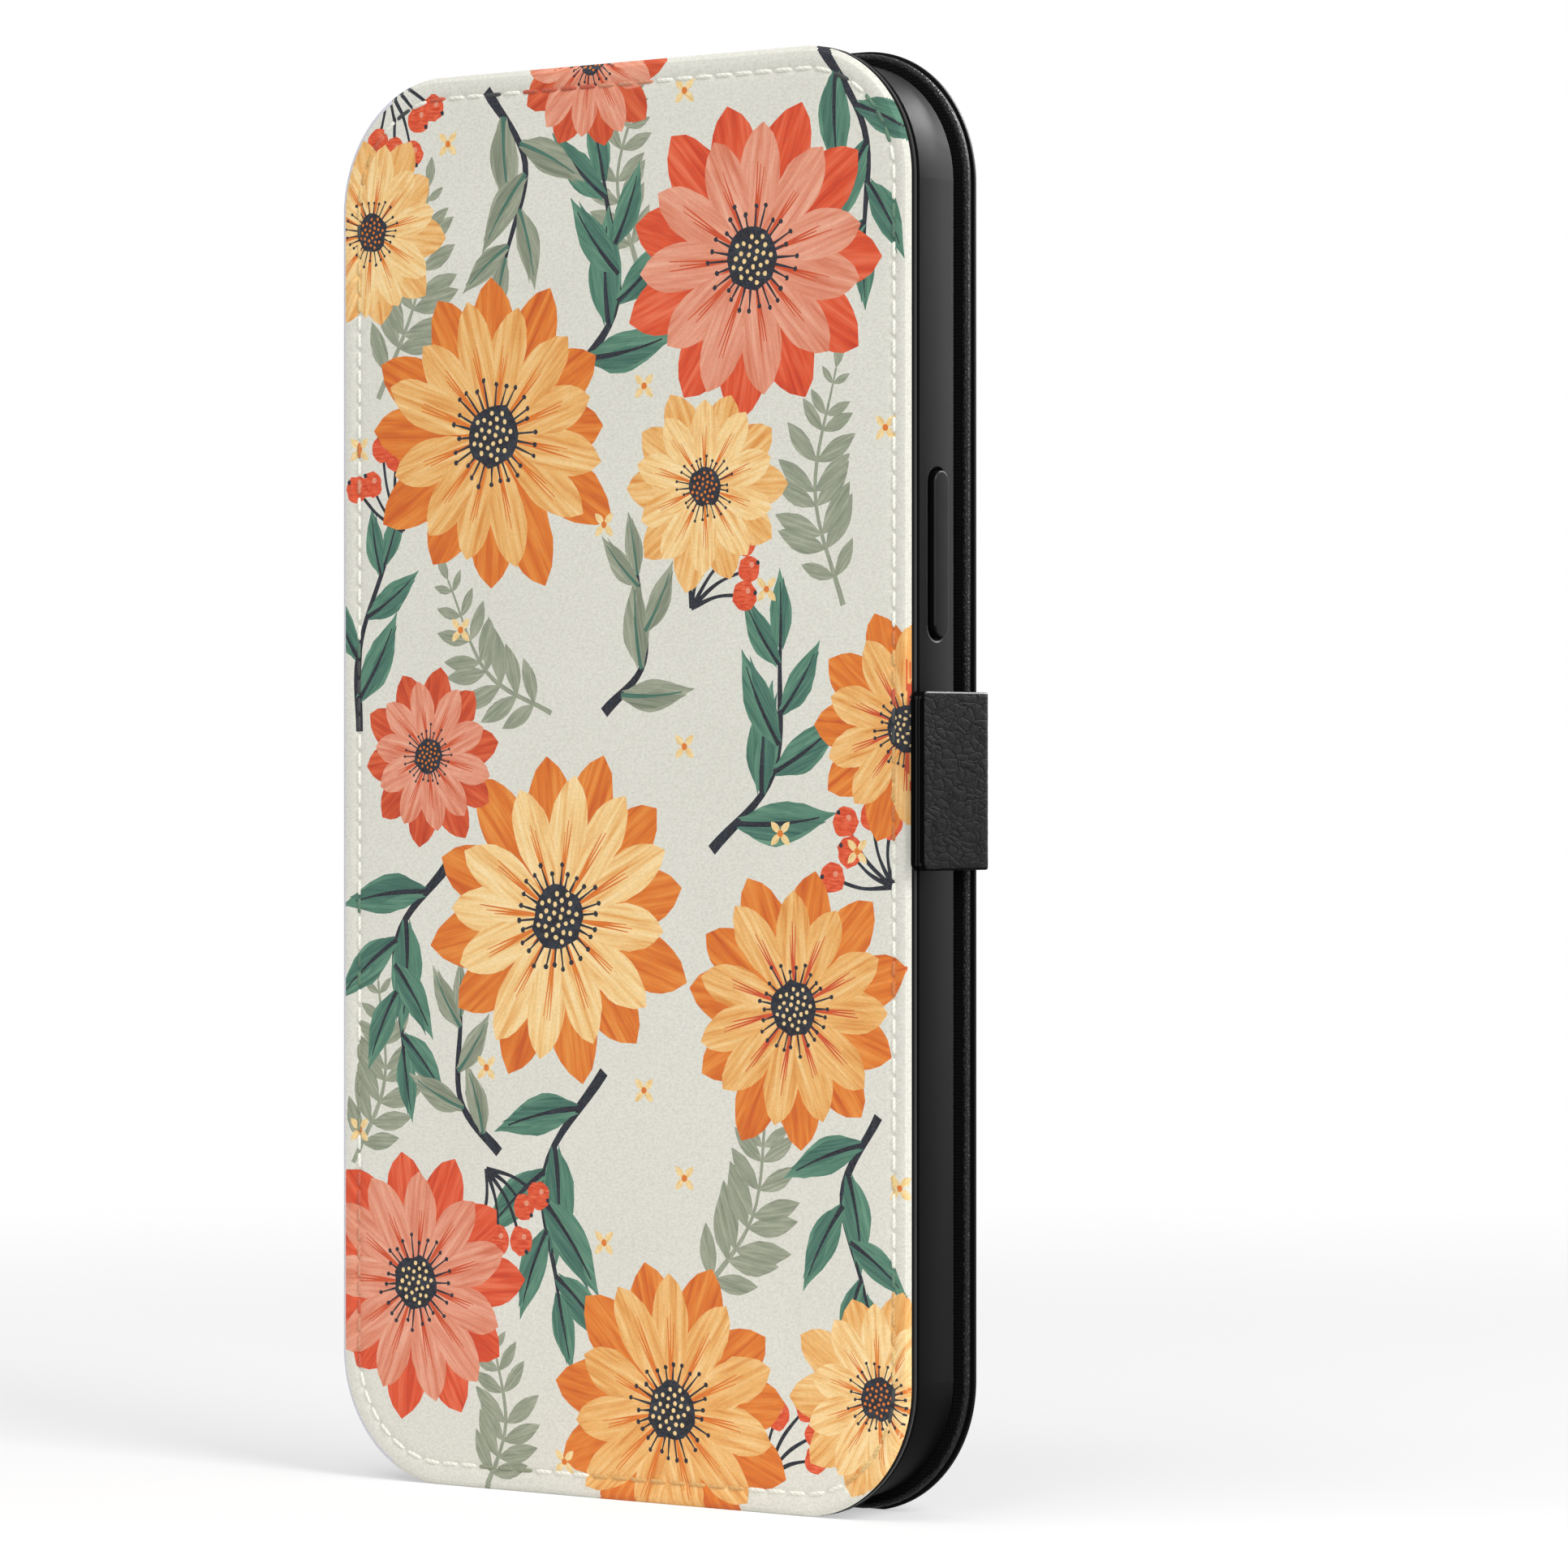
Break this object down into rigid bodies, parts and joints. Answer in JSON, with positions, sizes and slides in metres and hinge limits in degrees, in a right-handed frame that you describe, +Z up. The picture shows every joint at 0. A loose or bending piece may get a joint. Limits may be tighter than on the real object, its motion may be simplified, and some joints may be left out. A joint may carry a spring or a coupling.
{
  "type": "phone case",
  "caption": "Folio phone case with stitched covers, a folding spine, a rigid phone tray with sprung button caps, flat card pockets and a magnetic side clasp.",
  "frame": {"origin": "centre of the bounding box in plan, at the covers' lower edges", "axes": "+Z up along the case's height, front cover towards -Y, spine at -X, clasp at +X"},
  "size_m": [0.0876, 0.0125, 0.168],
  "materials": {
    "leather_back": "pebbled grain, satin",
    "leather_front": "fine grain, printed, matt",
    "leather_spine": "fine grain, satin",
    "leather_clasp": "pebbled grain, painted edges",
    "lining": "short suede-like nap",
    "pocket": "fine grain, satin",
    "board": "pressed fibre board, raw",
    "thread_dark": "twisted thread",
    "thread_pale": "twisted thread",
    "adhesive": "matt film",
    "shell": "satin",
    "cap": "satin",
    "steel": "plain",
    "magnet": "plated"
  },
  "bodies": {
    "back": {"back_skin": "leather_back", "back_board": "board", "back_lining": "lining", "back_seam": "thread_dark", "bond_pad": "adhesive", "shell": "shell", "spine_flange_back": "leather_spine", "clasp_tongue": "leather_clasp"},
    "spine": {"spine_leather": "leather_spine", "spine_board": "board", "spine_lining": "lining"},
    "cover": {"front_skin": "leather_front", "front_board": "board", "front_lining": "lining", "front_seam": "thread_pale", "spine_flange_front": "leather_spine", "front_keeper": "steel", "pocket_panel": "pocket", "card_slot_upper": "pocket", "card_slot_middle": "pocket", "card_slot_lower": "pocket"},
    "clasp": {"clasp_outer": "leather_clasp", "clasp_inner": "leather_clasp", "clasp_magnet": "magnet"},
    "side_button": {"side_button_cap": "cap"},
    "volume_up": {"volume_up_cap": "cap"},
    "volume_down": {"volume_down_cap": "cap"}
  },
  "joints": [
    {"name": "spine_fold", "type": "hinge", "parent": "back", "child": "spine", "pos_m": [-0.04408, 0.0045, 0.084], "axis": [0, 0, -1], "range_deg": [0, 175]},
    {"name": "cover_fold", "type": "hinge", "parent": "spine", "child": "cover", "pos_m": [-0.04408, -0.0047, 0.084], "axis": [0, 0, -1], "range_deg": [0, 175]},
    {"name": "clasp_fold", "type": "hinge", "parent": "back", "child": "clasp", "pos_m": [0.04177, 0.00625, 0.084], "axis": [0, 0, 1], "range_deg": [0, 120]},
    {"name": "side_button_press", "type": "slide", "parent": "back", "child": "side_button", "axis": [-1, 0, 0], "range_m": [0, 0.0004], "stiffness_N_per_m": 2000},
    {"name": "volume_up_press", "type": "slide", "parent": "back", "child": "volume_up", "axis": [1, 0, 0], "range_m": [0, 0.0004], "stiffness_N_per_m": 2000},
    {"name": "volume_down_press", "type": "slide", "parent": "back", "child": "volume_down", "axis": [1, 0, 0], "range_m": [0, 0.0004], "stiffness_N_per_m": 2000}
  ]
}
